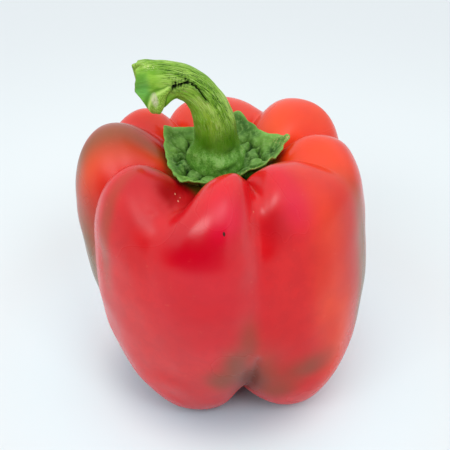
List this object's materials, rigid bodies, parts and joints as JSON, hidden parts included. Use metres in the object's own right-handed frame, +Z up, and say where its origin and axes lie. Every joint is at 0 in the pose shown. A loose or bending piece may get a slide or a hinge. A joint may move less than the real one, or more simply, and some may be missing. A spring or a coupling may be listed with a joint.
{
  "type": "bell pepper",
  "caption": "Ripe red bell pepper standing upright on its lobes, with a crinkled green calyx and a thick bent stem that flares at its broken end.",
  "frame": {"origin": "centre of the bounding box in plan, on the surface that the pepper stands on", "axes": "+Z up along the fruit's axis, -Y towards the front pair of lobes, and the stem bends over towards -X"},
  "size_m": [0.0868, 0.0884, 0.1098],
  "materials": {
    "red_skin": "gloss",
    "calyx_green": "matte",
    "stem_green": "satin"
  },
  "bodies": {
    "root": {"fruit": "red_skin", "calyx": "calyx_green", "stem": "stem_green"}
  },
  "joints": []
}
